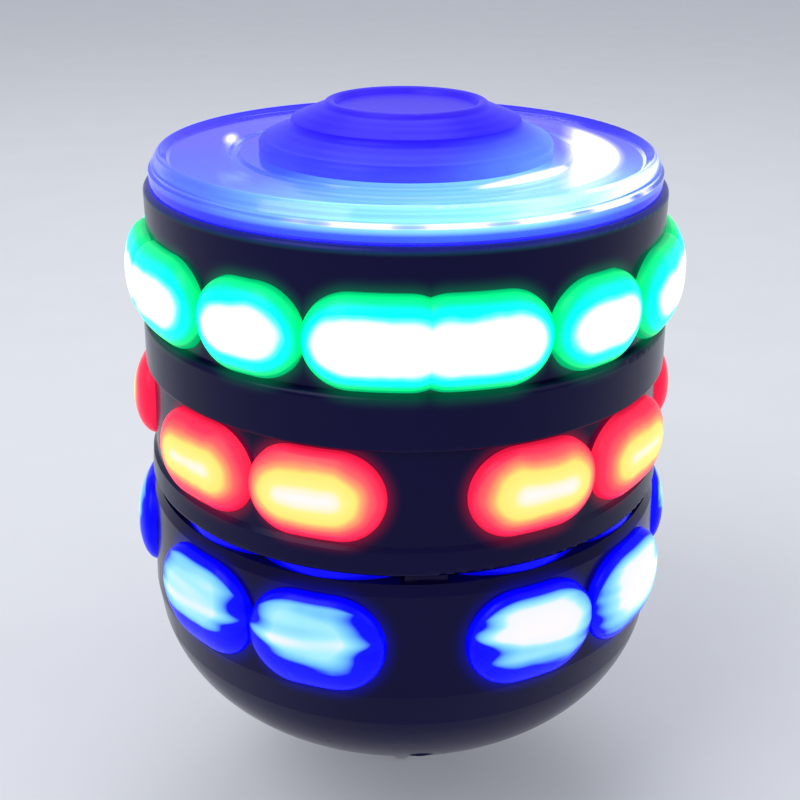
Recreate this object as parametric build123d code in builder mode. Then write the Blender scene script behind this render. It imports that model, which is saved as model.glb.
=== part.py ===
"""Light-up spinning top: three tiers of glowing lenses under a clear cover, on a steel tip.

Millimetres, +Z is the spin axis, and the origin is where the tip touches the table.
The front, -Y, is the middle of a plain black blank between two pairs of lenses.
"""

import os
from math import cos, degrees, radians, sin

from build123d import *

# ---------------------------------------------------------------- driving dimensions
body_radius = 30.0                      # widest black edge of tiers 1 and 2
wall = 1.8                              # thickness of the moulded walls
fit = 0.1                               # gap between a lens and the edge of its window
sector = 72.0                           # the body repeats five times round the axis
sectors = 5
first_blank = -90.0                     # direction of the blank that faces the front

# heights above the table
nose_bottom = 4.6
door_rim_bottom = 16.0
door_inside = 18.0
bowl_floor = 18.4
bowl_corner = 29.6
tier_3_top = 46.6
tier_2_bottom = 47.7
tier_1_bottom = 61.5
ledge_top = 67.3
bezel_bottom = 72.4
bezel_top = 81.6
cover_deck = 84.4
cover_rim = 85.0
crown_top = 89.6

# lens rows: height of the row, half height of a lens, wall it stands on, how far it bulges
green_height, green_half = 72.4, 4.85
red_height, red_half = 56.1, 4.9
blue_height, blue_half = 39.4, 5.6
green_wall, red_wall, blue_wall = 29.0, 29.4, 30.5
green_bulge, red_bulge, blue_bulge = 2.5, 2.5, 2.2
green_pitch = 24.0                      # green lenses: three to a sector, two of them run into one
green_waist = 1.9                       # a double green lens narrows this close to its middle
pair_pitch = 28.0                       # the two lenses of a red or a blue pair

# inside
floor_opening = 20.6                    # opening in the floors of tiers 1 and 2, round the boards
floor_thickness = 1.6
screw_circle = 23.4
boss_radius = 2.4
rib_thickness = 1.6                     # ribs that tie the screw columns to the wall
column_foot = 27.0
bezel_shelf = 77.2                      # underside of the shelf that the top board is screwed to
screw_radius = 1.0
board_radius = 20.0
board_thickness = 1.6
post_circle = 11.4
post_across_flats = 4.0
led_drop = 2.2                          # a lens row's LEDs stand this far above their board
led_radius = 1.5
blue_board = blue_height - led_drop - board_thickness
red_board = red_height - led_drop - board_thickness
green_board = green_height - led_drop - board_thickness
top_board = 78.4
tray_top = 25.6
cell_radius, cell_thickness = 5.8, 5.4
cell_circle = 6.8
first_cell = first_blank                # the cells and the tray screws stand at every 120 degrees
first_gap = first_blank + 180.0         # the door screws stand in the gaps between the cells
tray_screw_circle = 16.2
tray_screw_radius = 0.8
tray_flange = 1.4
tip_radius = 2.0

blanks = [first_blank + sector * k for k in range(sectors)]
pairs = [angle + sector / 2 for angle in blanks]


def radial_plane(angle, height=0.0):
    """Plane through the spin axis: its x runs outward at the angle, its y runs up."""
    turn = radians(angle)
    return Plane(origin=(0, 0, height), x_dir=(cos(turn), sin(turn), 0), z_dir=(sin(turn), -cos(turn), 0))


def radial_axis(angle, height):
    """Line that runs outward from the spin axis."""
    return Axis((0, 0, height), (cos(radians(angle)), sin(radians(angle)), 0))


def outward(angle, radius, height=0.0):
    """Point at the given radius."""
    return (radius * cos(radians(angle)), radius * sin(radians(angle)), height)


def ring(inner, outer, bottom, top):
    """Plain ring round the spin axis."""
    with BuildPart() as turned:
        with BuildSketch(Plane.XY.offset(bottom)):
            Circle(outer)
            Circle(inner, mode=Mode.SUBTRACT)
        extrude(amount=top - bottom)
    return turned.part


def capsule_lens(angle, height, half_height, half_length, inner, base, bulge):
    """Long round lens that follows the wall: a turned middle between two domed ends.

    half_length is measured along the wall, from the middle of the lens to its end.
    """
    swing = degrees((half_length - half_height) / base)
    with BuildPart() as capsule:
        with BuildSketch(radial_plane(angle - swing, height)):
            with BuildLine():
                Line((inner, -half_height), (inner, half_height))
                Line((inner, half_height), (base, half_height))
                EllipticalCenterArc((base, 0), bulge, half_height, -90, arc_size=180)
                Line((base, -half_height), (inner, -half_height))
            make_face()
        revolve(axis=Axis.Z, revolution_arc=2 * swing)
        for end in (angle - swing, angle + swing):
            with BuildSketch(radial_plane(end, height)):
                with BuildLine():
                    Line((inner, 0), (inner, half_height))
                    Line((inner, half_height), (base, half_height))
                    EllipticalCenterArc((base, 0), bulge, half_height, 0, arc_size=90)
                    Line((base + bulge, 0), (inner, 0))
                make_face()
            revolve(axis=radial_axis(end, height))
    return capsule.part


def window(angle, height, half_height, half_length, base):
    """Cutter for the window that a lens looks out of."""
    return capsule_lens(angle, height, half_height + fit, half_length + fit, base - 4.0, base + 1.0, 2.0)


def screw(head_radius, head_height, length, seat, points_up=True, radius=screw_radius):
    """Cross-head screw on the Z axis, with its head's underside at the seat."""
    way = 1 if points_up else -1
    recess_depth = head_height / 2
    with BuildPart() as fastener:
        with Locations((0, 0, seat - way * head_height / 2)):
            Cylinder(head_radius, head_height)
        with Locations((0, 0, seat + way * length / 2)):
            Cylinder(radius, length)
        with Locations((0, 0, seat - way * (head_height - recess_depth / 2))):
            Box(head_radius * 1.3, head_radius * 0.3, recess_depth, mode=Mode.SUBTRACT)
            Box(head_radius * 0.3, head_radius * 1.3, recess_depth, mode=Mode.SUBTRACT)
    return fastener.part


def around(piece, radius, count, start):
    """Copies of a piece, set round the spin axis."""
    step = 360.0 / count
    angles = [start + step * k for k in range(count)]
    return [Pos(*outward(angle, radius)) * Rot(0, 0, angle) * piece for angle in angles]


def save(name, part):
    """Label a finished piece and write it."""
    part.label = name
    export_step(part, f"parts/{name}.step")


os.makedirs("parts", exist_ok=True)

# ---------------------------------------------------------------- tip and battery door
shank_radius = 1.7
shank_top = 15.4
with BuildPart() as spin_tip:
    with BuildSketch(Plane.XZ):
        with BuildLine():
            Line((0, 0), (0, shank_top))
            Line((0, shank_top), (shank_radius, shank_top))
            Line((shank_radius, shank_top), (shank_radius, nose_bottom))
            Line((shank_radius, nose_bottom), (tip_radius, nose_bottom))
            Line((tip_radius, nose_bottom), (tip_radius, tip_radius))
            CenterArc((0, tip_radius), tip_radius, 0, -90)
        make_face()
    revolve(axis=Axis.Z)
save("spin_tip", spin_tip.part)

door_radius = 14.8
door_screw_circle = 10.8
door_screw_seat = 15.6
door_screw_well = 2.0
with BuildPart() as battery_door:
    with BuildSketch(Plane.XZ):
        with BuildLine():
            Line((0, nose_bottom), (3.4, nose_bottom))
            Line((3.4, nose_bottom), (4.4, 6.4))
            ThreePointArc((4.4, 6.4), (8.2, 11.9), (door_radius, door_rim_bottom))
            Line((door_radius, door_rim_bottom), (door_radius, door_inside))
            Line((door_radius, door_inside), (0, door_inside))
            Line((0, door_inside), (0, nose_bottom))
        make_face()
    revolve(axis=Axis.Z)
    with BuildSketch(Plane.XY.offset(nose_bottom)):
        Circle(shank_radius)
    extrude(amount=shank_top - nose_bottom, mode=Mode.SUBTRACT)
    with BuildSketch(Plane.XY.offset(nose_bottom)):
        with PolarLocations(door_screw_circle, 3, start_angle=first_gap):
            Circle(door_screw_well)
    extrude(amount=door_screw_seat - nose_bottom, mode=Mode.SUBTRACT)
    with BuildSketch(Plane.XY.offset(nose_bottom)):
        with PolarLocations(door_screw_circle, 3, start_angle=first_gap):
            Circle(screw_radius)
    extrude(amount=door_inside - nose_bottom, mode=Mode.SUBTRACT)
save("battery_door", battery_door.part)

with BuildPart() as door_screws:
    add(around(screw(1.8, 1.2, 7.4, door_screw_seat), door_screw_circle, 3, first_gap))
save("door_screws", door_screws.part)

# ---------------------------------------------------------------- battery compartment
contact_thickness = 0.4
cell_bottom = door_inside + contact_thickness
cell_top = cell_bottom + cell_thickness
tray_ceiling = cell_top + contact_thickness
tray_radius = 14.0

with BuildPart() as button_cells:
    with BuildSketch(Plane.XY.offset(cell_bottom)):
        with PolarLocations(cell_circle, 3, start_angle=first_cell):
            Circle(cell_radius)
    extrude(amount=cell_thickness)
    chamfer(button_cells.edges().filter_by(GeomType.CIRCLE).group_by(Axis.Z)[-1], 0.4)
save("button_cells", button_cells.part)

with BuildPart() as battery_tray:
    with BuildSketch(Plane.XY.offset(bowl_floor)):
        Circle(tray_radius)
    extrude(amount=tray_top - bowl_floor)
    with BuildSketch(Plane.XY.offset(bowl_floor)):
        Circle(18.0)
    extrude(amount=tray_flange)
    with BuildSketch(Plane.XY.offset(bowl_floor)):
        with PolarLocations(cell_circle, 3, start_angle=first_cell):
            Circle(cell_radius + 0.2)
        Circle(cell_circle)
    extrude(amount=tray_ceiling - bowl_floor, mode=Mode.SUBTRACT)
    with BuildSketch(Plane.XY.offset(bowl_floor)):
        with PolarLocations(door_screw_circle, 3, start_angle=first_gap):
            Circle(screw_radius)
        with PolarLocations(tray_screw_circle, 3, start_angle=first_cell):
            Circle(tray_screw_radius)
    extrude(amount=5.4, mode=Mode.SUBTRACT)
save("battery_tray", battery_tray.part)

tray_screw = screw(1.5, 1.0, 2.9, bowl_floor + tray_flange, points_up=False, radius=tray_screw_radius)
with BuildPart() as tray_screws:
    add(around(tray_screw, tray_screw_circle, 3, first_cell))
save("tray_screws", tray_screws.part)


def contact_pad(angle, height):
    """Round springy contact over one cell."""
    with BuildPart() as pad:
        with BuildSketch(Plane.XY.offset(height)):
            with PolarLocations(cell_circle, 1, start_angle=angle):
                Circle(2.4)
        extrude(amount=contact_thickness)
    return pad.part


def contact_link(angle, height):
    """Springy strip that links the two cells on either side of the angle."""
    with BuildPart() as strip:
        with BuildSketch(Plane.XY.offset(height)):
            with PolarLocations(cell_circle, 2, start_angle=angle - 60, angular_range=120, endpoint=True):
                Circle(2.4)
            with PolarLocations(cell_circle / 2, 1, start_angle=angle):
                Rectangle(2.2, 2 * cell_circle * sin(radians(60)))
        extrude(amount=contact_thickness)
    return strip.part


with BuildPart() as door_contacts:
    add(contact_link(first_cell + 60, door_inside))
    add(contact_pad(first_cell - 120, door_inside))
save("door_contacts", door_contacts.part)

with BuildPart() as tray_contacts:
    add(contact_link(first_cell + 180, cell_top))
    add(contact_pad(first_cell, cell_top))
save("tray_contacts", tray_contacts.part)

# ---------------------------------------------------------------- tier 3, the bowl
bowl_opening = 15.0
floor_reach = 19.4
blue_inner = blue_wall - wall - 0.4
blue_lens_length = radians(pair_pitch / 2) * blue_wall + 0.1
screw_seat = 33.0
screw_well = 2.05
rib_circle = 26.8
rib_length = 3.4
foot_height = 4.6
land_inner = 25.8
land_outer = 27.3
land_nose = 29.2
land_sunk = 1.5

with BuildPart() as tier_3_housing:
    with BuildSketch(Plane.XZ):
        with BuildLine():
            Line((bowl_opening, door_rim_bottom), (floor_reach, 18.0))
            ThreePointArc((floor_reach, 18.0), (26.9, 22.8), (30.3, bowl_corner))
            Line((30.3, bowl_corner), (30.8, 33.4))
            Line((30.8, 33.4), (30.2, 45.4))
            Line((30.2, 45.4), (29.7, tier_3_top))
            Line((29.7, tier_3_top), (blue_inner, tier_3_top))
            Line((blue_inner, tier_3_top), (blue_inner, 30.6))
            ThreePointArc((blue_inner, 30.6), (25.4, 24.0), (floor_reach, bowl_floor + 1.2))
            Line((floor_reach, bowl_floor + 1.2), (18.6, bowl_floor))
            Line((18.6, bowl_floor), (bowl_opening, bowl_floor))
            Line((bowl_opening, bowl_floor), (bowl_opening, door_rim_bottom))
        make_face()
    revolve(axis=Axis.Z)
    # screw columns, one behind each blank, ribbed to the wall
    with BuildSketch(Plane.XY.offset(column_foot)):
        with PolarLocations(screw_circle, sectors, start_angle=first_blank):
            Circle(boss_radius + 0.4)
        with PolarLocations(rib_circle, sectors, start_angle=first_blank):
            Rectangle(rib_length, rib_thickness)
    extrude(amount=tier_2_bottom - column_foot)
    with BuildSketch(Plane.XY.offset(column_foot - foot_height)):
        with PolarLocations(screw_circle, sectors, start_angle=first_blank):
            Circle(boss_radius + 1.0)
    extrude(amount=foot_height)
    # a raised land over each blank carries tier 2 and closes the joint between the blue inserts
    with BuildSketch(Plane.XY.offset(tier_3_top - land_sunk)):
        with PolarLocations((land_inner + land_outer) / 2, sectors, start_angle=first_blank):
            Rectangle(land_outer - land_inner, 8.2)
    extrude(amount=tier_2_bottom - tier_3_top + land_sunk)
    with BuildSketch(Plane.XY.offset(tier_3_top)):
        with PolarLocations((land_inner + land_nose) / 2, sectors, start_angle=first_blank):
            Rectangle(land_nose - land_inner, 4.4)
    extrude(amount=tier_2_bottom - tier_3_top)
    with BuildSketch(Plane.XY.offset(door_rim_bottom)):
        with PolarLocations(screw_circle, sectors, start_angle=first_blank):
            Circle(screw_well)
    extrude(amount=screw_seat - door_rim_bottom, mode=Mode.SUBTRACT)
    with BuildSketch(Plane.XY.offset(door_rim_bottom)):
        with PolarLocations(screw_circle, sectors, start_angle=first_blank):
            Circle(screw_radius + fit)
    extrude(amount=tier_2_bottom - door_rim_bottom, mode=Mode.SUBTRACT)
    with BuildSketch(Plane.XY.offset(bowl_floor - 1.8)):
        with PolarLocations(tray_screw_circle, 3, start_angle=first_cell):
            Circle(tray_screw_radius)
    extrude(amount=1.8, mode=Mode.SUBTRACT)
    for pair in pairs:
        for side in (-1, 1):
            add(window(pair + side * pair_pitch / 2, blue_height, blue_half, blue_lens_length, blue_wall),
                mode=Mode.SUBTRACT)
save("tier_3_housing", tier_3_housing.part)

ring_radius = 26.4
with BuildPart() as flywheel_ring:
    with BuildSketch(Plane.XY.offset(column_foot)):
        Circle(ring_radius)
        Circle(18.4, mode=Mode.SUBTRACT)
        with PolarLocations(screw_circle, sectors, start_angle=first_blank):
            Circle(boss_radius + 0.5, mode=Mode.SUBTRACT)
        with PolarLocations(ring_radius, sectors, start_angle=first_blank):
            Rectangle(rib_length, rib_thickness + 2 * fit, mode=Mode.SUBTRACT)
    extrude(amount=4.0)
save("flywheel_ring", flywheel_ring.part)


def lens_pair(pair, height, half_height, half_length, base, bulge, plate_inner, plate_span, plate_reach):
    """Two lenses side by side on one curved plate, pushed into their window from inside."""
    plate_outer = plate_inner + 1.4
    with BuildPart() as insert:
        with BuildSketch(radial_plane(pair - plate_span, height)):
            with Locations(((plate_inner + plate_outer) / 2, 0)):
                Rectangle(plate_outer - plate_inner, 2 * plate_reach)
        revolve(axis=Axis.Z, revolution_arc=2 * plate_span)
        for side in (-1, 1):
            add(capsule_lens(pair + side * pair_pitch / 2, height, half_height, half_length,
                             plate_inner + 0.6, base, bulge))
    return insert.part


# The top edge of each blue insert swells out over the wall: crescents of light under tier 2.
lip_top = tier_2_bottom - 0.1
lip_reach = 29.6
lip_curve = 12.0
lip_root = blue_inner - 0.6
with BuildPart() as blue_lenses:
    for pair in pairs:
        add(lens_pair(pair, blue_height, blue_half, blue_lens_length, blue_wall, blue_bulge,
                      blue_inner - 1.6, 27.0, lip_top - blue_height))
        with BuildSketch(Plane.XY.offset(tier_3_top)):
            for side in (-1, 1):
                with Locations(outward(pair + side * pair_pitch / 2, lip_reach - lip_curve)):
                    Circle(lip_curve)
            Circle(lip_root, mode=Mode.SUBTRACT)
        extrude(amount=lip_top - tier_3_top)
save("blue_lenses", blue_lenses.part)

# ---------------------------------------------------------------- tier 2
red_inner = red_wall - wall
red_lens_length = radians(pair_pitch / 2) * red_wall + 0.1
tier_2_floor = tier_2_bottom + floor_thickness

with BuildPart() as tier_2_housing:
    with BuildSketch(Plane.XZ):
        with BuildLine():
            Line((floor_opening, tier_2_bottom), (29.7, tier_2_bottom))
            ThreePointArc((29.7, tier_2_bottom), (30.05, 47.85), (30.2, 48.2))
            Line((30.2, 48.2), (30.0, 50.4))
            Line((30.0, 50.4), (29.6, 50.9))
            Line((29.6, 50.9), (29.2, tier_1_bottom))
            Line((29.2, tier_1_bottom), (red_inner, tier_1_bottom))
            Line((red_inner, tier_1_bottom), (red_inner, tier_2_floor))
            Line((red_inner, tier_2_floor), (floor_opening, tier_2_floor))
            Line((floor_opening, tier_2_floor), (floor_opening, tier_2_bottom))
        make_face()
    revolve(axis=Axis.Z)
    with BuildSketch(Plane.XY.offset(tier_2_floor - 0.3)):
        with PolarLocations(screw_circle, sectors, start_angle=first_blank):
            Circle(boss_radius)
        with PolarLocations(26.6, sectors, start_angle=first_blank):
            Rectangle(2.6, rib_thickness)
    extrude(amount=tier_1_bottom - tier_2_floor + 0.3)
    with BuildSketch(Plane.XY.offset(tier_2_bottom)):
        with PolarLocations(screw_circle, sectors, start_angle=first_blank):
            Circle(screw_radius + fit)
    extrude(amount=tier_1_bottom - tier_2_bottom, mode=Mode.SUBTRACT)
    for pair in pairs:
        for side in (-1, 1):
            add(window(pair + side * pair_pitch / 2, red_height, red_half, red_lens_length, red_wall),
                mode=Mode.SUBTRACT)
save("tier_2_housing", tier_2_housing.part)

with BuildPart() as red_lenses:
    for pair in pairs:
        add(lens_pair(pair, red_height, red_half, red_lens_length, red_wall, red_bulge,
                      red_inner - 1.6, 27.0, 5.2))
save("red_lenses", red_lenses.part)

# ---------------------------------------------------------------- tier 1 and its bezel
green_inner = green_wall - wall
lens_overlap = 0.15                     # neighbours run into each other by this much
single_length = radians(green_pitch / 2) * green_wall + lens_overlap

# A double lens sits over each blank, and its two halves run into each other at a shallow waist.
double_outer_end = radians(green_pitch) * green_wall + lens_overlap
double_inner_end = green_waist - green_half
double_length = (double_outer_end - double_inner_end) / 2
double_offset = degrees((double_outer_end + double_inner_end) / 2 / green_wall)
tier_1_floor = tier_1_bottom + floor_thickness
green_lenses = [(pair, single_length) for pair in pairs]
green_lenses += [(blank + side * double_offset, double_length) for blank in blanks for side in (-1, 1)]

with BuildPart() as tier_1_housing:
    with BuildSketch(Plane.XZ):
        with BuildLine():
            Line((floor_opening, tier_1_bottom), (29.6, tier_1_bottom))
            ThreePointArc((29.6, tier_1_bottom), (29.9, 61.62), (body_radius, 61.9))
            Line((body_radius, 61.9), (29.9, ledge_top - 0.8))
            ThreePointArc((29.9, ledge_top - 0.8), (29.7, ledge_top - 0.2), (green_wall, ledge_top))
            Line((green_wall, ledge_top), (green_wall, bezel_bottom))
            Line((green_wall, bezel_bottom), (green_inner, bezel_bottom))
            Line((green_inner, bezel_bottom), (green_inner, tier_1_floor))
            Line((green_inner, tier_1_floor), (floor_opening, tier_1_floor))
            Line((floor_opening, tier_1_floor), (floor_opening, tier_1_bottom))
        make_face()
    revolve(axis=Axis.Z)
    with BuildSketch(Plane.XY.offset(tier_1_floor - 0.1)):
        with PolarLocations(screw_circle, sectors, start_angle=first_blank):
            Circle(boss_radius - 0.3)
    extrude(amount=bezel_shelf - tier_1_floor + 0.1)
    with BuildSketch(Plane.XY.offset(tier_1_floor - 0.1)):
        with PolarLocations(26.0, sectors, start_angle=first_blank):
            Rectangle(rib_length, rib_thickness)
    extrude(amount=3.6)
    with BuildSketch(Plane.XY.offset(tier_1_bottom)):
        with PolarLocations(screw_circle, sectors, start_angle=first_blank):
            Circle(screw_radius)
    extrude(amount=bezel_shelf - tier_1_bottom, mode=Mode.SUBTRACT)
    for angle, half_length in green_lenses:
        add(window(angle, green_height, green_half, half_length, green_wall), mode=Mode.SUBTRACT)
save("tier_1_housing", tier_1_housing.part)

with BuildPart() as green_lens_ring:
    add(ring(green_inner - 1.6, green_inner - 0.2, green_height - 4.9, green_height + 4.7))
    for angle, half_length in green_lenses:
        add(capsule_lens(angle, green_height, green_half, half_length,
                         green_inner - 1.0, green_wall, green_bulge))
save("green_lens_ring", green_lens_ring.part)

bezel_wall = 28.9
bezel_inner = 26.7
shelf_opening = 20.8
with BuildPart() as top_bezel:
    with BuildSketch(Plane.XZ):
        with BuildLine():
            Line((green_inner, bezel_bottom), (bezel_wall, bezel_bottom))
            Line((bezel_wall, bezel_bottom), (bezel_wall, 80.9))
            ThreePointArc((bezel_wall, 80.9), (28.75, 81.35), (28.4, bezel_top))
            Line((28.4, bezel_top), (bezel_inner, bezel_top))
            Line((bezel_inner, bezel_top), (bezel_inner, top_board))
            Line((bezel_inner, top_board), (shelf_opening, top_board))
            Line((shelf_opening, top_board), (shelf_opening, bezel_shelf))
            Line((shelf_opening, bezel_shelf), (green_inner, bezel_shelf))
            Line((green_inner, bezel_shelf), (green_inner, bezel_bottom))
        make_face()
    revolve(axis=Axis.Z)
    with BuildSketch(Plane.XY.offset(bezel_shelf)):
        with PolarLocations(screw_circle, sectors, start_angle=first_blank):
            Circle(screw_radius + fit)
    extrude(amount=top_board - bezel_shelf, mode=Mode.SUBTRACT)
    for angle, half_length in green_lenses:
        add(window(angle, green_height, green_half, half_length, green_wall), mode=Mode.SUBTRACT)
save("top_bezel", top_bezel.part)

# ---------------------------------------------------------------- screws that clamp the tiers
with BuildPart() as housing_screws:
    add(around(screw(1.9, 1.4, 33.0, screw_seat), screw_circle, sectors, first_blank))
save("housing_screws", housing_screws.part)

board_top = top_board + board_thickness - 0.4
with BuildPart() as bezel_screws:
    add(around(screw(1.6, 1.1, 8.0, board_top, points_up=False), screw_circle, sectors, first_blank))
save("bezel_screws", bezel_screws.part)

# ---------------------------------------------------------------- clear cover, knob, reflector
cover_radius = 28.2
spigot_inner = 25.5
spigot_outer = bezel_inner - fit
cover_underside = cover_deck - 1.5
groove = cover_deck - 0.3
knob_hole = 15.0
with BuildPart() as top_cover:
    with BuildSketch(Plane.XZ):
        with BuildLine():
            Line((spigot_inner, bezel_top), (cover_radius, bezel_top))
            Line((cover_radius, bezel_top), (cover_radius, 83.2))
            Line((cover_radius, 83.2), (27.9, 83.4))
            Line((27.9, 83.4), (27.9, 83.7))
            Line((27.9, 83.7), (27.3, 84.75))
            ThreePointArc((27.3, 84.75), (27.1, 84.93), (26.8, cover_rim))
            Line((26.8, cover_rim), (26.2, cover_deck))
            Line((26.2, cover_deck), (19.5, cover_deck))
            Line((19.5, cover_deck), (19.2, groove))
            Line((19.2, groove), (18.6, groove))
            Line((18.6, groove), (18.3, cover_deck))
            Line((18.3, cover_deck), (knob_hole, cover_deck))
            Line((knob_hole, cover_deck), (knob_hole, cover_underside))
            Line((knob_hole, cover_underside), (25.9, cover_underside))
            Line((25.9, cover_underside), (spigot_outer, 83.2))
            Line((spigot_outer, 83.2), (spigot_outer, 82.2))
            Line((spigot_outer, 82.2), (spigot_inner, bezel_top))
        make_face()
    revolve(axis=Axis.Z)
    # spigot that snaps inside the bezel
    add(ring(spigot_inner, spigot_outer, 80.2, 82.2))
save("top_cover", top_cover.part)

knob_radius = 16.2
neck_radius = knob_hole - 0.05
knob_bottom = 82.0
with BuildPart() as launch_knob:
    with BuildSketch(Plane.XZ):
        with BuildLine():
            Line((knob_radius, cover_deck), (knob_radius, 85.4))
            ThreePointArc((knob_radius, 85.4), (15.9, 85.85), (15.4, 86.1))
            Line((15.4, 86.1), (13.2, 87.1))
            ThreePointArc((13.2, 87.1), (12.8, 87.4), (12.6, 87.9))
            Line((12.6, 87.9), (9.4, 89.2))
            ThreePointArc((9.4, 89.2), (9.1, 89.36), (8.9, crown_top))
            ThreePointArc((8.9, crown_top), (8.4, crown_top + 0.2), (7.9, crown_top))
            Line((7.9, crown_top), (7.6, 89.1))
            Line((7.6, 89.1), (0, 88.9))
            Line((0, 88.9), (0, 86.9))
            Line((0, 86.9), (6.6, 87.1))
            Line((6.6, 87.1), (13.3, 84.4))
            Line((13.3, 84.4), (13.3, knob_bottom))
            Line((13.3, knob_bottom), (neck_radius, knob_bottom))
            Line((neck_radius, knob_bottom), (neck_radius, cover_deck))
            Line((neck_radius, cover_deck), (knob_radius, cover_deck))
        make_face()
    revolve(axis=Axis.Z)
save("launch_knob", launch_knob.part)

top_led_circle = 19.6
reflector_gap = 1.3
with BuildPart() as top_reflector:
    with BuildSketch(Plane.XY.offset(board_top + reflector_gap)):
        Circle(25.2)
        with PolarLocations(top_led_circle, sectors, start_angle=first_blank):
            Rectangle(3.6, 4.4, mode=Mode.SUBTRACT)
    extrude(amount=0.6)
    with BuildSketch(Plane.XY.offset(board_top)):
        with PolarLocations(15.0, 3, start_angle=30):
            Circle(1.0)
    extrude(amount=reflector_gap)
save("top_reflector", top_reflector.part)

# ---------------------------------------------------------------- LED boards
link_pin_pitch = 2.54
link_pin_width = 0.64
link_pin_spots = [(-13.0 + link_pin_pitch * k, -10.6) for k in range(4)]


def led_board(bottom, radius, thickness):
    """Round board with a key notch in its rear edge."""
    with BuildPart() as board:
        with BuildSketch(Plane.XY.offset(bottom)):
            Circle(radius)
            with Locations((0, radius)):
                Rectangle(6.0, 1.0, mode=Mode.SUBTRACT)
        extrude(amount=thickness)
    return board.part


save("blue_led_board", led_board(blue_board, board_radius, board_thickness))
save("red_led_board", led_board(red_board, board_radius, board_thickness))
save("green_led_board", led_board(green_board, board_radius, board_thickness))

with BuildPart() as top_led_board:
    add(led_board(top_board, 25.6, board_top - top_board))
    with BuildSketch(Plane.XY.offset(top_board)):
        with PolarLocations(screw_circle, sectors, start_angle=first_blank):
            Circle(screw_radius + fit)
    extrude(amount=board_top - top_board, mode=Mode.SUBTRACT)
save("top_led_board", top_led_board.part)


def row_led(angle, height):
    """Round LED lying on the rim of its board, looking outward, on bent legs."""
    flange = 18.4
    face = flange + 4.2
    leg = 0.5
    with BuildPart() as lamp:
        with BuildSketch(radial_plane(angle, height)):
            with BuildLine():
                Line((flange, 0), (flange, 1.9))
                Line((flange, 1.9), (flange + 0.9, 1.9))
                Line((flange + 0.9, 1.9), (flange + 0.9, led_radius))
                Line((flange + 0.9, led_radius), (face, led_radius))
                CenterArc((face, 0), led_radius, 90, -90)
                Line((face + led_radius, 0), (flange, 0))
            make_face()
        revolve(axis=radial_axis(angle, height))
        with BuildSketch(radial_plane(angle, height)):
            with Locations((flange - 0.6, 0)):
                Rectangle(1.4, leg)
            with Locations((flange - 1.05, (leg / 2 - led_drop) / 2)):
                Rectangle(leg, led_drop + leg / 2)
        extrude(amount=leg / 2, both=True)
    return lamp.part


def led_row(height):
    """One LED behind each pair of lenses."""
    with BuildPart() as row:
        for pair in pairs:
            add(row_led(pair, height))
    return row.part


save("blue_leds", led_row(blue_height))
save("red_leds", led_row(red_height))
save("green_leds", led_row(green_height))

top_led_height = 1.9
with BuildPart() as top_leds:
    with BuildSketch(Plane.XY.offset(board_top)):
        with PolarLocations(top_led_circle, sectors, start_angle=first_blank):
            Rectangle(2.8, 3.5)
    extrude(amount=top_led_height)
    with BuildSketch(Plane.XY.offset(board_top + top_led_height)):
        with PolarLocations(top_led_circle, sectors, start_angle=first_blank):
            Circle(1.1)
    extrude(amount=-0.4, mode=Mode.SUBTRACT)
save("top_leds", top_leds.part)


def hex_posts(bottom, top):
    """Three hexagonal posts between two boards."""
    with BuildPart() as posts:
        with BuildSketch(Plane.XY.offset(bottom)):
            with PolarLocations(post_circle, 3, start_angle=30):
                RegularPolygon(post_across_flats / 2, 6, major_radius=False)
        extrude(amount=top - bottom)
    return posts.part


save("tray_posts", hex_posts(tray_top, blue_board))
save("lower_posts", hex_posts(blue_board + board_thickness, red_board))
save("middle_posts", hex_posts(red_board + board_thickness, green_board))
save("upper_posts", hex_posts(green_board + board_thickness, top_board))

with BuildPart() as link_pins:
    for bottom, top in ((blue_board, red_board), (red_board, green_board), (green_board, top_board)):
        with BuildSketch(Plane.XY.offset(bottom + board_thickness)):
            with Locations(*link_pin_spots):
                Rectangle(link_pin_width, link_pin_width)
        extrude(amount=top - bottom - board_thickness)
save("link_pins", link_pins.part)

chip_base = red_board + board_thickness
with BuildPart() as control_chip:
    with BuildSketch(Plane.XY.offset(chip_base)):
        Circle(4.2)
    extrude(amount=1.7)
    fillet(control_chip.edges().filter_by(GeomType.CIRCLE).group_by(Axis.Z)[-1], 1.5)
save("control_chip", control_chip.part)

with BuildPart() as chip_resistors:
    with BuildSketch(Plane.XY.offset(chip_base)):
        with PolarLocations(15.6, sectors, start_angle=first_blank + sector / 2):
            Rectangle(1.6, 3.2)
    extrude(amount=0.6)
save("chip_resistors", chip_resistors.part)

# ---------------------------------------------------------------- centrifugal switch
# A brass weight on a thin reed: as the top spins, the weight swings out and the reed meets the post.
switch_base = blue_board + board_thickness
switch_height = 5.0
block_face = -5.8
reed_line = 11.4
reed_thickness = 0.1
reed_width = 1.4
reed_length = 9.4
root_gap = 0.05
weight_size = 3.0
reed_middle = switch_base + 3.0
swing_limit = 6.0
anchor_depth = 1.2

with BuildPart() as switch_block:
    with BuildSketch(Plane.XY.offset(switch_base)):
        with Locations((block_face - 1.6, reed_line)):
            Rectangle(3.2, 4.4)
    extrude(amount=switch_height)
    with BuildSketch(Plane.XY.offset(reed_middle - reed_width / 2)):
        with Locations((block_face - anchor_depth / 2, reed_line)):
            Rectangle(anchor_depth, reed_thickness)
    extrude(amount=reed_width, mode=Mode.SUBTRACT)
save("switch_block", switch_block.part)


def reed_strip(start, finish):
    """Upright strip of reed between two places along X."""
    with BuildPart() as strip:
        with BuildSketch(Plane.XY.offset(reed_middle - reed_width / 2)):
            with Locations(((start + finish) / 2, reed_line)):
                Rectangle(finish - start, reed_thickness)
        extrude(amount=reed_width)
    return strip.part


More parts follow.
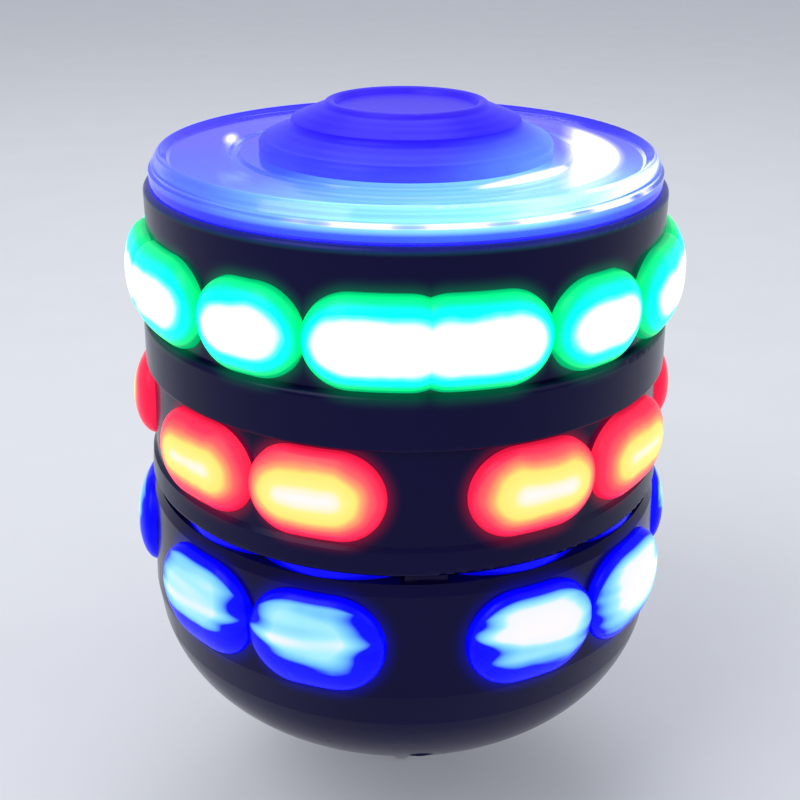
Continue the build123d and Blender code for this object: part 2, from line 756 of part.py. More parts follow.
save("reed_anchor", reed_strip(block_face - anchor_depth, block_face))
save("switch_reed", reed_strip(block_face + root_gap, block_face + reed_length))

weight_x = block_face + reed_length - weight_size / 2
weight_y = reed_line - (reed_thickness + weight_size) / 2
with BuildPart() as switch_weight:
    with BuildSketch(Plane.XY.offset(reed_middle - weight_size / 2)):
        with Locations((weight_x, weight_y)):
            Rectangle(weight_size, weight_size)
    extrude(amount=weight_size)
save("switch_weight", switch_weight.part)

# The post stands where the reed's outer face arrives at the end of its swing.
swing = radians(swing_limit)
post_radius = 0.5
post_reach = reed_length - 0.8
post_standoff = reed_thickness / 2 + post_radius + 0.03
post_x = block_face + post_reach * cos(swing) - post_standoff * sin(swing)
post_y = reed_line + post_reach * sin(swing) + post_standoff * cos(swing)
with BuildPart() as switch_contact:
    with BuildSketch(Plane.XY.offset(switch_base)):
        with Locations((post_x, post_y)):
            Circle(post_radius)
    extrude(amount=switch_height)
save("switch_contact", switch_contact.part)
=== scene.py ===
"""Looks of the light-up spinning top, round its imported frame.

Metres. +Z is the spin axis and the tip stands on the floor at the origin. The front, -Y, is the
middle of a plain black blank between two pairs of lenses. Directions are in degrees round the axis,
0 at +X and -90 at the front. Every solid of the frame is kept, and gets its material here.
"""

from math import cos, pi, radians, sin

import bpy
from mathutils import Matrix, Vector


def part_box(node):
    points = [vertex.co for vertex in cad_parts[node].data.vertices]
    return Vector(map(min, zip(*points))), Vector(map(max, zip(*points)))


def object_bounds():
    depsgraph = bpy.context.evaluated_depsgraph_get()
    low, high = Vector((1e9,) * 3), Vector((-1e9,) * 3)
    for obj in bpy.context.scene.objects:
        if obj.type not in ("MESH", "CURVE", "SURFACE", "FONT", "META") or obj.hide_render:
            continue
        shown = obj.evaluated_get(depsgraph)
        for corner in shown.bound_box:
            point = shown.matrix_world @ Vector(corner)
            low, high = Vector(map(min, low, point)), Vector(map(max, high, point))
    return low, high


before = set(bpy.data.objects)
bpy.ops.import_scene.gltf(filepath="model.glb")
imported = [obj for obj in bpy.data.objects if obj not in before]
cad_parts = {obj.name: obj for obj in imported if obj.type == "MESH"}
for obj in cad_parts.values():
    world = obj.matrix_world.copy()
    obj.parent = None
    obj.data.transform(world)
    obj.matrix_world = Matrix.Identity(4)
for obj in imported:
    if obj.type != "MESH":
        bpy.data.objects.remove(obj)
cad_low, cad_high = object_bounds()

# ---------------------------------------------------------------- places and sizes, from the frame
mm = 0.001
body_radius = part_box("tier_1_housing")[1].x
sector = 72.0                           # the body repeats five times round the axis
first_blank = -90.0                     # direction of the blank at the front
green_pitch = 24.0
pair_pitch = 28.0                       # the two lenses of a red or a blue pair
double_waist = 1.9 * mm                 # where the halves of a double green lens begin to narrow


class Row:
    """One ring of lenses.

    height is that of its middle, half is half the height of a lens, wall is the radius of the housing
    behind it, and reach is half the width of a lens along that wall. lens_share is the part of the
    node's height that is lens, wall_share is the wall's radius against the body's, and lens_angle is
    the pitch of the lenses.
    """

    def __init__(self, node, lens_share, wall_share, lens_angle):
        low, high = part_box(node)
        self.height = (low.z + high.z) / 2
        self.half = (high.z - low.z) / 2 * lens_share
        self.wall = body_radius * wall_share
        self.reach = radians(lens_angle / 2) * self.wall


green_row = Row("green_lens_ring", 1.0, 0.967, green_pitch)
red_row = Row("red_lenses", 0.942, 0.98, pair_pitch)
blue_row = Row("blue_lenses", 0.683, 1.017, pair_pitch)


def srgb(red, green, blue):
    """Scene colour of a screen colour given from 0 to 255."""
    def linear(level):
        share = level / 255
        return share / 12.92 if share <= 0.04045 else ((share + 0.055) / 1.055) ** 2.4
    return (linear(red), linear(green), linear(blue), 1.0)


# ---------------------------------------------------------------- how a material is wired
class Finish:
    """One material, with a short way to wire its nodes."""

    def __init__(self, name, **settings):
        self.material = bpy.data.materials.new(name)
        self.material.use_nodes = True
        tree = self.material.node_tree
        self.nodes, self.links = tree.nodes, tree.links
        self.nodes.clear()
        self.shader = self.nodes.new("ShaderNodeBsdfPrincipled")
        output = self.nodes.new("ShaderNodeOutputMaterial")
        self.links.new(self.shader.outputs["BSDF"], output.inputs["Surface"])
        self.place = self.nodes.new("ShaderNodeTexCoord").outputs["Object"]
        split = self.nodes.new("ShaderNodeSeparateXYZ")
        self.links.new(self.place, split.inputs[0])
        self.x, self.y, self.z = split.outputs
        for setting, value in settings.items():
            self.set(setting.replace("_", " ").title().replace("Ior", "IOR"), value)

    def plug(self, socket, value):
        """Give a socket a plain value, or the output of another node."""
        if isinstance(value, bpy.types.NodeSocket):
            self.links.new(value, socket)
        else:
            socket.default_value = value

    def set(self, name, value):
        """Set one input of the shader."""
        self.plug(self.shader.inputs[name], value)

    def math(self, operation, *values, clamp=False):
        """Result of one sum on values or outputs. The methods below name the common ones."""
        node = self.nodes.new("ShaderNodeMath")
        node.operation = operation
        node.use_clamp = clamp
        for socket, value in zip(node.inputs, values):
            self.plug(socket, value)
        return node.outputs[0]

    def plus(self, first, second):
        return self.math("ADD", first, second)

    def minus(self, first, second):
        return self.math("SUBTRACT", first, second)

    def times(self, first, second, clamp=False):
        return self.math("MULTIPLY", first, second, clamp=clamp)

    def over(self, first, second):
        return self.math("DIVIDE", first, second)

    def larger(self, first, second, clamp=False):
        return self.math("MAXIMUM", first, second, clamp=clamp)

    def smaller(self, first, second):
        return self.math("MINIMUM", first, second)

    def positive(self, value):
        return self.math("ABSOLUTE", value)

    def length(self, across, up):
        """Length of the step (across, up)."""
        return self.math("SQRT", self.plus(self.times(across, across), self.times(up, up)))

    def radius(self):
        """Distance from the spin axis."""
        return self.length(self.x, self.y)

    def ripple(self, value, pitch):
        """A wave from -1 to 1 that repeats every pitch of the value."""
        return self.math("SINE", self.times(value, 2 * pi / pitch))

    def azimuth(self):
        """Direction round the spin axis in degrees, from -180 to 180."""
        return self.math("DEGREES", self.math("ARCTAN2", self.y, self.x))

    def smooth(self, value, low, high):
        """0 below low and 1 above high, with a soft step between."""
        node = self.nodes.new("ShaderNodeMapRange")
        node.interpolation_type = "SMOOTHSTEP"
        self.plug(node.inputs["Value"], value)
        node.inputs["From Min"].default_value = low
        node.inputs["From Max"].default_value = high
        return node.outputs["Result"]

    def band(self, value, middle, half, soft):
        """1 within half of the middle, falling to 0 over soft."""
        off = self.positive(self.minus(value, middle))
        return self.smooth(off, half + soft, half)

    def level(self, value, low, high):
        """A 0 to 1 value spread from low to high."""
        return self.plus(self.times(value, high - low), low)

    def noise(self, scale, detail=3.0, stretch=(1, 1, 1)):
        """Soft noise from 0 to 1, with scale cells to a metre, drawn out where stretch is below 1."""
        node = self.nodes.new("ShaderNodeTexNoise")
        mapping = self.nodes.new("ShaderNodeMapping")
        mapping.inputs["Scale"].default_value = stretch
        self.links.new(self.place, mapping.inputs["Vector"])
        self.links.new(mapping.outputs[0], node.inputs["Vector"])
        node.inputs["Scale"].default_value = scale
        node.inputs["Detail"].default_value = detail
        node.inputs["Roughness"].default_value = 0.55
        return node.outputs["Fac"]

    def ramp(self, value, stops):
        """Colour read from (place, colour) stops."""
        node = self.nodes.new("ShaderNodeValToRGB")
        elements = node.color_ramp.elements
        while len(elements) < len(stops):
            elements.new(0.5)
        for element, (place, colour) in zip(elements, stops):
            element.position = place
            element.color = colour
        self.plug(node.inputs[0], value)
        return node.outputs["Color"]

    def mix(self, share, first, second, kind="MIX"):
        """The first colour with a share of the second."""
        node = self.nodes.new("ShaderNodeMix")
        node.data_type = "RGBA"
        node.blend_type = kind
        self.plug(node.inputs[0], share)
        self.plug(node.inputs[6], first)
        self.plug(node.inputs[7], second)
        return node.outputs[2]

    def bump(self, height, depth, strength=1.0, under=None):
        """Relief of the given depth in metres, over any relief already there."""
        node = self.nodes.new("ShaderNodeBump")
        node.inputs["Strength"].default_value = strength
        node.inputs["Distance"].default_value = depth
        self.plug(node.inputs["Height"], height)
        if under is not None:
            self.links.new(under, node.inputs["Normal"])
        return node.outputs["Normal"]


def paint(finish, *nodes):
    """Give CAD nodes a finish."""
    for name in nodes:
        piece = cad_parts[name]
        piece.data.materials.clear()
        piece.data.materials.append(finish.material)


# ---------------------------------------------------------------- where a lens is, as seen by its material
def pair_ends(finish, row, lean=0.0):
    """Distance along the wall past the straight middle of the nearest lens of a pair.

    lean moves the middles towards each other, in degrees.
    """
    swing = finish.math("WRAP", finish.minus(finish.azimuth(), first_blank + sector / 2),
                        sector / 2, -sector / 2)
    swing = finish.minus(finish.positive(swing), pair_pitch / 2 - lean)
    along = finish.positive(finish.times(swing, radians(1) * row.wall))
    return finish.larger(finish.minus(along, row.reach - row.half), 0.0)


def green_ends(finish, row, _lean=0.0):
    """The same for the green row: a double lens over each blank, and a single one between doubles.

    It is called as pair_ends is, but these lenses don't lean.
    """
    swing = finish.math("WRAP", finish.minus(finish.azimuth(), first_blank), sector / 2, -sector / 2)
    along = finish.times(finish.positive(swing), radians(1) * row.wall)
    outer = 2 * row.reach - row.half
    from_half = finish.positive(finish.minus(along, (outer + double_waist) / 2))
    double = finish.minus(from_half, (outer - double_waist) / 2)
    from_single = finish.positive(finish.minus(along, radians(sector / 2) * row.wall))
    single = finish.minus(from_single, row.reach - row.half)
    return finish.larger(finish.smaller(double, single), 0.0)


def distance(finish, across, up, size):
    """Length of the step (across, up), as a share of size."""
    return finish.over(finish.length(across, up), size)


def toward(finish, direction):
    """1 on the side of the body that faces the direction, and -1 opposite."""
    turn = radians(direction)
    facing = finish.plus(finish.times(finish.x, cos(turn)), finish.times(finish.y, sin(turn)))
    return finish.over(facing, body_radius)


# ---------------------------------------------------------------- black moulded body
rim_half, rim_soft = 0.1 * mm, 0.3 * mm   # the worn band along a rim
spill_far, spill_near = 1.42, 0.9         # where spilt light ends and is whole, in half heights of a lens
spill_strength = 0.4
crown_rise = 0.7 * mm                     # over this height the cover's light takes over on the bezel
crown_strength = 0.34


def black_plastic(name, rims, row=None, ends=None, spill=None, shoulder=None):
    """Glossy near-black plastic: handled, finely scratched and scuffed along its rims.

    Painted light: the lenses' spill is painted as a glow on the wall just beside them, and the cover's
    light is painted on what is above the shoulder.
    """
    finish = Finish(name, ior=1.5, specular_ior_level=0.15)
    finish.set("Specular Tint", (0.6, 0.64, 1.0, 1.0))
    smudge = finish.noise(70, 4)
    cloud = finish.noise(260, 3)
    scratch = finish.noise(900, 2, stretch=(1, 1, 0.05))
    worn = 0.0
    for height in rims:
        worn = finish.plus(worn, finish.band(finish.z, height, rim_half, rim_soft))
    scuff = finish.times(worn, finish.smooth(finish.noise(500, 3), 0.45, 0.75), clamp=True)
    colour = finish.mix(smudge, srgb(8, 4, 40), srgb(14, 9, 60))
    colour = finish.mix(finish.times(scuff, 0.12), colour, srgb(60, 58, 78))
    rough = finish.level(cloud, 0.13, 0.26)
    rough = finish.plus(rough, finish.times(scuff, 0.08))
    rough = finish.plus(rough, finish.times(finish.smooth(scratch, 0.58, 0.75), 0.08))
    finish.set("Base Color", colour)
    finish.set("Roughness", rough)
    # Painted light: the lenses' spill as a glow beside them, and the cover's light on the bezel's crown.
    if row:
        up = finish.minus(finish.z, row.height)
        beside = finish.smooth(distance(finish, ends(finish, row), up, row.half), spill_far, spill_near)
        glow = finish.times(finish.times(beside, beside), spill_strength)
        if shoulder:
            crown = finish.smooth(finish.z, shoulder, shoulder + crown_rise)
            spill = finish.mix(crown, spill, srgb(44, 52, 190))
            glow = finish.larger(glow, finish.times(crown, crown_strength))
        finish.set("Emission Color", spill)
        finish.set("Emission Strength", glow)
    peel = finish.bump(finish.noise(1500, 2), 0.01 * mm, 0.5)
    finish.set("Normal", peel)
    return finish


def rim_heights(node, *shares):
    """Heights within a node, as shares of the way from its bottom to its top."""
    low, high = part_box(node)
    return [low.z + share * (high.z - low.z) for share in shares]


# Colours of the painted spill glow beside each row of lenses.
green_spill, red_spill, blue_spill = srgb(0, 150, 90), srgb(200, 14, 50), srgb(2, 0, 215)
bezel_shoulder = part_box("top_bezel")[1].z - 0.9 * mm
paint(black_plastic("black_bezel", rim_heights("top_bezel", 0.95), green_row, green_ends, green_spill,
                    bezel_shoulder), "top_bezel")
paint(black_plastic("black_tier_1", rim_heights("tier_1_housing", 0.02), green_row, green_ends, green_spill),
      "tier_1_housing")
paint(black_plastic("black_tier_2", rim_heights("tier_2_housing", 0.04), red_row, pair_ends, red_spill),
      "tier_2_housing")
paint(black_plastic("black_tier_3", rim_heights("tier_3_housing", 0.97), blue_row, pair_ends, blue_spill),
      "tier_3_housing")
paint(black_plastic("black_door", rim_heights("battery_door", 0.02, 0.85)), "battery_door")


# ---------------------------------------------------------------- glowing lenses
under_share = 1.14                      # the rim shows this much more below, where the dome turns under
end_share = 0.94                        # and a little less at the ends of a lens
cloud_share = 0.25                      # how far clouds in the plastic blur the edge of the core
band_share = 0.6                        # how much of the bands is left in a dimmed core
coolest = 0.4                           # the coolest that dimming makes a core, on the scale of stops


def lens(name, row, ends, stops, core_size, rim_power, drop=0.0, lean=0.0, brighter=first_blank, fade=0.0,
         most=0.1, streak=0.0, dim=0.0):
    """Translucent lens, its backlight painted in as a glow: a hot core and a deep coloured rim.

    stops are the colours from the middle of the core, 0, to the edge of the lens, 1. core_size is the
    core's width and height as shares of the lens, and drop is how low the core sits. lean moves the
    two cores of a pair towards each other, in degrees. The rim is thinner at a higher rim_power.
    Cores are painted smaller by fade away from the brighter direction, but never by more than most,
    a painted brighter side. streak is the strength of the level bands across the cores, painted
    streaks of light, and dim takes the white out of those away from the brighter direction.
    """
    finish = Finish(name, ior=1.5, specular_ior_level=0.1)
    up = finish.minus(finish.z, row.height)
    past = ends(finish, row, lean)
    above_or_below = finish.larger(up, finish.times(up, -under_share))
    rim = distance(finish, finish.times(past, end_share), above_or_below, row.half)
    lowered = finish.over(finish.plus(up, drop * row.half), core_size[1])
    core = distance(finish, finish.over(past, core_size[0]), lowered, row.half)
    # Painted brighter side: cores are painted smaller away from the brighter direction.
    away = finish.minus(1.0, toward(finish, brighter))
    core = finish.plus(core, finish.smaller(finish.times(away, fade), most))
    cloud = finish.noise(150, 2)
    core = finish.plus(core, finish.times(finish.minus(cloud, 0.5), cloud_share))
    edge = finish.math("POWER", rim, rim_power)
    # Painted streaks of light across the cores.
    if streak:
        bands = finish.minus(finish.noise(52, 1, stretch=(1, 1, 7)), 0.5)
        core = finish.plus(core, finish.times(bands, streak))
        cooler = finish.smaller(finish.times(away, dim), coolest)
        cooler = finish.plus(cooler, finish.times(bands, band_share * streak))
        core = finish.larger(core, cooler)
    depth = finish.larger(core, edge, clamp=True)
    finish.set("Base Color", finish.mix(cloud, stops[-1][1], stops[-2][1]))
    finish.set("Roughness", finish.level(finish.noise(300, 3), 0.22, 0.36))
    # The light of the lamp behind the lens is painted as a glow.
    finish.set("Emission Color", finish.ramp(depth, stops))
    finish.set("Emission Strength", 1.0)
    finish.set("Normal", finish.bump(finish.noise(800, 2), 0.02 * mm, 0.4))
    return finish


# Colours of the painted lens glow, from the hot core to the rim.
white_hot = srgb(255, 250, 253)
green_stops = [(0.0, white_hot), (0.43, white_hot), (0.5, srgb(110, 248, 252)), (0.56, srgb(1, 246, 251)),
               (0.68, srgb(1, 247, 232)), (0.8, srgb(1, 246, 150)), (0.92, srgb(2, 225, 120)),
               (1.0, srgb(2, 150, 92))]
red_stops = [(0.0, srgb(255, 250, 246)), (0.14, srgb(254, 247, 215)), (0.26, srgb(254, 246, 130)),
             (0.48, srgb(254, 236, 108)), (0.58, srgb(253, 170, 98)), (0.7, srgb(253, 100, 86)),
             (0.83, srgb(251, 44, 74)), (1.0, srgb(200, 18, 56))]
blue_stops = [(0.0, srgb(254, 250, 254)), (0.28, srgb(244, 249, 254)), (0.38, srgb(170, 241, 251)),
              (0.5, srgb(130, 214, 250)), (0.6, srgb(96, 172, 250)), (0.69, srgb(8, 16, 251)),
              (0.95, srgb(1, 0, 250)), (1.0, srgb(1, 0, 190))]

green_lens = lens("green_lens", green_row, green_ends, green_stops, core_size=(1.42, 1.16), rim_power=2.0,
                  drop=-0.06, fade=0.12, most=0.06)
red_lens = lens("red_lens", red_row, pair_ends, red_stops, core_size=(1.16, 1.06), rim_power=3.0,
                drop=-0.12, lean=0.6, fade=0.4, most=0.14)
blue_lens = lens("blue_lens", blue_row, pair_ends, blue_stops, core_size=(1.25, 1.38), rim_power=4.0,
                 drop=-0.3, brighter=first_blank + 60, fade=0.2, most=0.14, streak=0.9, dim=0.46)
paint(green_lens, "green_lens_ring")
paint(red_lens, "red_lenses")
paint(blue_lens, "blue_lenses")

# ---------------------------------------------------------------- light under the clear cover
lit_side = first_blank + 78             # direction of the brightest lamp under the cover
short_arc_side = lit_side - 38
spot_side = lit_side + 174
dash_side = first_blank + 16            # middle of the dashes of light on the cover's wall
first_dash = first_blank - 13
dash_pitch = sector / 4
cover_low, cover_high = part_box("top_cover")
cover_radius = cover_high.x


def lit_circle(finish):
    """Colour of the painted light round the cover: violet behind, through blue to cyan in front.

    The stops are shares of a turn, from the back over the left side.
    """
    violet, deep = srgb(62, 46, 232), srgb(54, 68, 250)
    round_share = finish.math("FRACT", finish.over(finish.minus(finish.azimuth(), 90.0), 360.0))
    return finish.ramp(round_share, [
        (0.0, violet), (0.2, violet), (0.27, deep), (0.36, srgb(66, 98, 252)), (0.45, srgb(130, 204, 251)),
        (0.55, srgb(140, 226, 251)), (0.62, srgb(144, 222, 252)), (0.68, srgb(108, 150, 252)),
        (0.74, srgb(70, 82, 250)), (0.8, violet), (1.0, violet)])


def cover_ring(finish, middle, half, soft):
    """1 in a ring round the axis: its middle, half width and soft edge are shares of the cover's radius."""
    return finish.band(finish.radius(), middle * cover_radius, half * cover_radius, soft * cover_radius)


def lamp_glare(finish):
    """1 where lamp glare is painted: an arc over the brightest, a shorter arc, and a painted glint spot."""
    arc_reach = finish.smooth(toward(finish, lit_side), 0.55, 0.64)
    arc = finish.times(cover_ring(finish, 0.73, 0.08, 0.05), arc_reach)
    short_reach = finish.smooth(toward(finish, short_arc_side), 0.55, 0.585)
    short_arc = finish.times(cover_ring(finish, 0.63, 0.02, 0.04), short_reach)
    # Painted glint spot.
    spot_turn, spot_radius = radians(spot_side), 0.73 * cover_radius
    spot_length, spot_slimness = 0.15 * cover_radius, 3.6
    across = finish.times(finish.minus(finish.x, cos(spot_turn) * spot_radius), spot_slimness)
    along = finish.minus(finish.y, sin(spot_turn) * spot_radius)
    spot = finish.smooth(distance(finish, across, along, spot_length), 1.0, 0.2)
    return finish.larger(finish.larger(arc, short_arc), spot)


def reflector_plastic():
    """Plastic under the cover: painted blue light of the lamps in its slots, painted shade by the knob."""
    finish = Finish("reflector_white", roughness=0.45)
    light = lit_circle(finish)
    grain = finish.noise(500, 3)
    # Painted shade: deeper blue near the knob.
    painted_shade_near_knob = finish.smooth(finish.radius(), 0.68 * cover_radius, 0.56 * cover_radius)
    light = finish.mix(finish.times(painted_shade_near_knob, 0.6), light, srgb(52, 50, 250))
    speckle = finish.ramp(grain, [(0.3, (0.86, 0.86, 0.9, 1)), (0.7, (1, 1, 1, 1))])
    light = finish.mix(1.0, light, speckle, "MULTIPLY")
    # The white plastic's base colour is painted blue, as it looks when lit by the lamps.
    finish.set("Base Color", finish.mix(grain, srgb(66, 74, 160), srgb(84, 92, 184)))
    finish.set("Emission Color", light)
    finish.set("Emission Strength", 1.0)
    finish.set("Normal", finish.bump(grain, 0.02 * mm, 0.4))
    return finish


paint(reflector_plastic(), "top_reflector")


def wall_dashes(finish, height):
    """Painted dashes of lamp light low on the cover's wall at the front, four to a sector."""
    dash_height, dash_half, dash_soft = 0.65, 0.035, 0.03
    turn = finish.over(finish.minus(finish.azimuth(), first_dash), dash_pitch)
    from_middle = finish.positive(finish.math("WRAP", turn, 0.5, -0.5))
    dashes = finish.level(finish.smooth(from_middle, 0.48, 0.26), 0.3, 1.0)
    front = finish.smooth(toward(finish, dash_side), 0.64, 0.76)
    line = finish.band(height, dash_height, dash_half, dash_soft)
    return finish.times(line, finish.times(dashes, front))


def clear_cover():
    """Clear moulded cover. The light its wall pipes from the lamps is painted on, a glow in bands.

    Heights are shares of the cover's height, from its foot.
    """
    step_height, step_half, step_soft = 0.82, 0.02, 0.03
    foot_top, foot_low = 0.53, 0.45
    deck_glow, wall_glow, lamp_side_loss = 0.54, 0.72, 0.42
    finish = Finish("clear_cover", ior=1.5, transmission_weight=1.0, specular_ior_level=0.08)
    radius = finish.radius()
    height = finish.over(finish.minus(finish.z, cover_low.z), cover_high.z - cover_low.z)
    # Painted light band at the step of the wall.
    step = finish.times(finish.band(height, step_height, step_half, step_soft), 0.6)
    light = finish.mix(step, lit_circle(finish), srgb(70, 110, 250))
    dashes = wall_dashes(finish, height)
    light = finish.mix(dashes, light, white_hot)
    light = finish.mix(finish.smooth(height, foot_top, foot_low), light, srgb(16, 4, 250))
    glare = lamp_glare(finish)
    light = finish.mix(glare, light, white_hot)
    smear = finish.noise(90, 4)
    finish.set("Base Color", finish.mix(smear, srgb(80, 96, 255), srgb(112, 132, 255)))
    finish.set("Roughness", finish.level(smear, 0.05, 0.2))
    finish.set("Emission Color", light)
    wall = finish.smooth(radius, 0.9 * cover_radius, 0.95 * cover_radius)
    lamp_side = finish.times(wall, finish.smooth(toward(finish, lit_side), 0.45, 0.8))
    glow = finish.minus(finish.level(wall, deck_glow, wall_glow), finish.times(lamp_side, lamp_side_loss))
    finish.set("Emission Strength", finish.larger(glow, finish.larger(dashes, glare)))
    scratches = finish.bump(finish.noise(700, 2, stretch=(1, 0.06, 1)), 0.01 * mm, 0.3)
    rings = finish.ripple(radius, 1.6 * mm)
    finish.set("Normal", finish.bump(rings, 0.006 * mm, 0.4, under=scratches))
    return finish


paint(clear_cover(), "top_cover")


def knob_plastic():
    """Frosted violet-blue knob, light painted in: paler at its foot and by the lit lamp, painted shade
    opposite.
    """
    finish = Finish("knob_violet", ior=1.5, specular_ior_level=0.1)
    knob_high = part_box("launch_knob")[1]
    deck = cover_high.z
    rise = finish.over(finish.minus(finish.z, deck), knob_high.z - deck)
    radius = finish.radius()
    light = finish.ramp(rise, [
        (0.0, srgb(74, 82, 252)), (0.2, srgb(60, 68, 251)), (0.4, srgb(56, 50, 250)),
        (0.62, srgb(40, 14, 250)), (0.8, srgb(46, 22, 250)), (1.0, srgb(66, 46, 230))])
    dish = finish.smooth(radius, 0.5 * knob_high.x, 0.42 * knob_high.x)
    light = finish.mix(dish, light, srgb(72, 54, 218))
    # Painted light: paler low on the side of the lit lamp.
    side = finish.smooth(toward(finish, lit_side), 0.12, 0.5)
    low_side = finish.times(side, finish.smooth(rise, 0.65, 0.1))
    light = finish.mix(low_side, light, srgb(104, 156, 252))
    # Painted shade on the side away from the lit lamp.
    painted_shade_side = finish.times(finish.smooth(toward(finish, lit_side + 150), 0.2, 0.5), 0.6)
    light = finish.mix(painted_shade_side, light, srgb(44, 4, 250))
    cloud = finish.noise(200, 4)
    frost = finish.ramp(cloud, [(0.3, (0.82, 0.82, 0.9, 1)), (0.7, (1.05, 1.05, 1.0, 1))])
    light = finish.mix(1.0, light, frost, "MULTIPLY")
    finish.set("Base Color", finish.mix(cloud, srgb(10, 5, 120), srgb(18, 10, 150)))
    finish.set("Roughness", finish.level(cloud, 0.22, 0.42))
    finish.set("Emission Color", light)
    finish.set("Emission Strength", 0.9)
    grain = finish.bump(finish.noise(900, 2), 0.02 * mm, 0.4)
    finish.set("Normal", finish.bump(finish.ripple(radius, 1.2 * mm), 0.02 * mm, 0.4, under=grain))
    return finish


paint(knob_plastic(), "launch_knob")


# ---------------------------------------------------------------- lamps and boards
def lamp_plastic(name, colour, strength):
    """Clear epoxy lamp with its light on."""
    finish = Finish(name, ior=1.5)
    cloud = finish.noise(900, 2)
    finish.set("Base Color", finish.mix(cloud, srgb(225, 228, 232), colour))
    finish.set("Emission Color", finish.mix(cloud, colour, white_hot))
    finish.set("Emission Strength", strength)
    finish.set("Roughness", finish.level(cloud, 0.08, 0.25))
    return finish


paint(lamp_plastic("lamp_blue", srgb(60, 90, 255), 3.0), "blue_leds")
paint(lamp_plastic("lamp_red", srgb(255, 60, 50), 3.0), "red_leds")
paint(lamp_plastic("lamp_green", srgb(40, 255, 150), 3.0), "green_leds")
paint(lamp_plastic("lamp_top", srgb(150, 190, 255), 2.0), "top_leds")


def circuit_board():
    """Fibreglass board: green mask with copper runs under it."""
    finish = Finish("circuit_board")
    runs = finish.nodes.new("ShaderNodeTexBrick")
    finish.links.new(finish.place, runs.inputs["Vector"])
    runs.inputs["Scale"].default_value = 260
    runs.inputs["Mortar Size"].default_value = 0.05
    weave = finish.noise(3500, 2)
    mask = finish.mix(weave, srgb(8, 58, 34), srgb(14, 84, 48))
    finish.set("Base Color", finish.mix(runs.outputs["Fac"], mask, srgb(48, 132, 76)))
    finish.set("Roughness", finish.level(weave, 0.25, 0.5))
    finish.set("Normal", finish.bump(runs.outputs["Fac"], 0.03 * mm, 0.5))
    return finish


paint(circuit_board(), "blue_led_board", "red_led_board", "green_led_board", "top_led_board")


# ---------------------------------------------------------------- metals
def metal(name, dull, bright, roughness, grain, stretch=(1, 1, 1), turned=0.0):
    """Metal with a brushed grain and dull patches of handling, and tool rings of pitch turned if given."""
    finish = Finish(name, metallic=1.0)
    patch = finish.noise(160, 4)
    lines = finish.noise(grain, 3, stretch=stretch)
    finish.set("Base Color", finish.mix(patch, dull, bright))
    rough = finish.level(lines, roughness * 0.7, roughness * 1.3)
    handled = finish.times(finish.smooth(patch, 0.55, 0.7), 0.12)
    finish.set("Roughness", finish.plus(rough, handled))
    relief = finish.bump(lines, 0.01 * mm, 0.5)
    if turned:
        relief = finish.bump(finish.ripple(finish.z, turned), 0.01 * mm, 0.5, under=relief)
    finish.set("Normal", relief)
    return finish


paint(metal("tip_steel", srgb(168, 170, 174), srgb(214, 216, 220), 0.18, 1200, turned=0.25 * mm), "spin_tip")
paint(metal("cell_steel", srgb(180, 182, 186), srgb(222, 224, 226), 0.22, 800), "button_cells")
paint(metal("ring_steel", srgb(140, 142, 146), srgb(186, 188, 192), 0.35, 600), "flywheel_ring")
paint(metal("zinc_plate", srgb(164, 168, 176), srgb(212, 216, 226), 0.28, 900),
      "door_screws", "tray_screws", "housing_screws", "bezel_screws",
      "tray_posts", "lower_posts", "middle_posts", "upper_posts")
paint(metal("bronze_strip", srgb(176, 120, 74), srgb(214, 160, 108), 0.26, 1000, stretch=(0.1, 1, 1)),
      "door_contacts", "tray_contacts", "switch_reed", "reed_anchor", "switch_contact")
paint(metal("brass", srgb(176, 140, 66), srgb(220, 186, 102), 0.24, 900), "switch_weight")
paint(metal("gold_plate", srgb(206, 160, 74), srgb(240, 200, 116), 0.2, 1200), "link_pins")


# ---------------------------------------------------------------- inner plastics
def inner_plastic(name, dark, light, rough_low, rough_high):
    """Matt moulded plastic with a fine spark texture."""
    finish = Finish(name)
    spark = finish.noise(2200, 2)
    cloud = finish.noise(180, 4)
    finish.set("Base Color", finish.mix(cloud, dark, light))
    finish.set("Roughness", finish.level(spark, rough_low, rough_high))
    finish.set("Normal", finish.bump(spark, 0.02 * mm, 0.6))
    return finish


paint(inner_plastic("tray_black", srgb(30, 30, 32), srgb(44, 44, 47), 0.45, 0.65),
      "battery_tray", "switch_block")
paint(inner_plastic("chip_epoxy", srgb(14, 14, 15), srgb(28, 27, 27), 0.25, 0.4), "control_chip")
paint(inner_plastic("resistor_film", srgb(24, 24, 26), srgb(58, 58, 60), 0.3, 0.5), "chip_resistors")

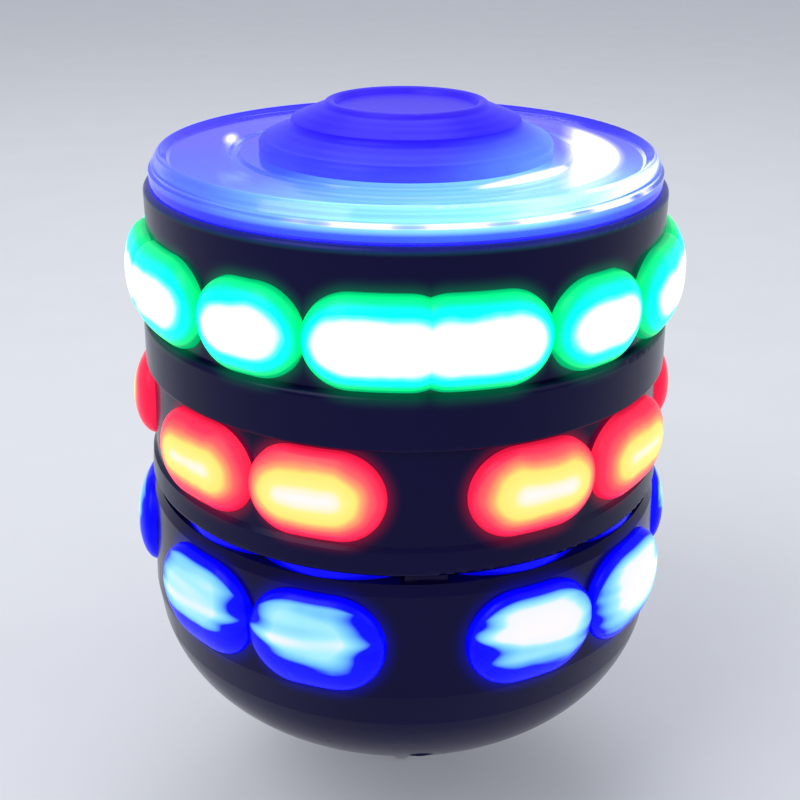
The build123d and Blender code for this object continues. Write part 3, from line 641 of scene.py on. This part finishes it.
# ---------------------------------------------------------------- stage: pale floor, soft light, camera
floor_mesh = bpy.data.meshes.new("floor")
reach = 60 * body_radius
corners = [(-reach, -reach, 0), (reach, -reach, 0), (reach, reach, 0), (-reach, reach, 0)]
floor_mesh.from_pydata(corners, [], [(0, 1, 2, 3)])
floor = bpy.data.objects.new("floor", floor_mesh)
bpy.context.scene.collection.objects.link(floor)
floor.location.z = cad_low.z - 0.02 * mm
floor_finish = Finish("floor_pale", roughness=0.6)
pale = floor_finish.mix(floor_finish.noise(40, 2), srgb(236, 237, 239), srgb(242, 243, 245))
floor_finish.set("Base Color", pale)
floor_mesh.materials.append(floor_finish.material)

scene = bpy.context.scene
scene.view_settings.view_transform = "Standard"
world = bpy.data.worlds.new("studio")
world.use_nodes = True
sky = world.node_tree.nodes["Background"]
sky.inputs["Color"].default_value = (0.86, 0.9, 1.0, 1)
sky.inputs["Strength"].default_value = 0.58
scene.world = world


def softbox(name, direction, elevation, distance_away, size, power):
    """Square soft light, aimed at the middle of the top."""
    data = bpy.data.lights.new(name, "AREA")
    data.shape = "SQUARE"
    data.size = size
    data.energy = power
    lamp = bpy.data.objects.new(name, data)
    scene.collection.objects.link(lamp)
    turn, lift = radians(direction), radians(elevation)
    aim = Vector((cos(turn) * cos(lift), sin(turn) * cos(lift), sin(lift)))
    middle = Vector((0, 0, (cad_low.z + cad_high.z) / 2))
    lamp.location = middle + aim * distance_away
    lamp.rotation_euler = aim.to_track_quat("Z", "Y").to_euler()


softbox("key", first_blank - 55, 50, 20 * body_radius, 12 * body_radius, 1.3)
softbox("fill", first_blank + 70, 35, 22 * body_radius, 14 * body_radius, 0.5)
softbox("back", first_blank + 180, 60, 20 * body_radius, 10 * body_radius, 0.6)

# The eye looks down at the top from the front, a little to the left of the blank. Lengths are in
# body radii: across the view, back from the axis, and up from the floor.
eye_across, eye_back, eye_up = -0.0164, 4.4785, 3.777
eye_heading, eye_drop, eye_lean = -4.5, 23.85, 0.37     # degrees
camera_data = bpy.data.cameras.new("camera")
camera_data.sensor_width = 36
camera_data.lens = 54.67
camera_data.clip_start = 0.01
camera = bpy.data.objects.new("camera", camera_data)
scene.collection.objects.link(camera)
eye_turn = Matrix.Rotation(radians(eye_heading), 4, "Z")
eye_tilt = Matrix.Rotation(radians(90 - eye_drop), 4, "X")
eye_roll = Matrix.Rotation(radians(eye_lean), 4, "Z")
eye_place = Matrix.Translation(Vector((eye_across, -eye_back, eye_up)) * body_radius)
camera.matrix_world = eye_turn @ eye_place @ eye_tilt @ eye_roll
scene.camera = camera
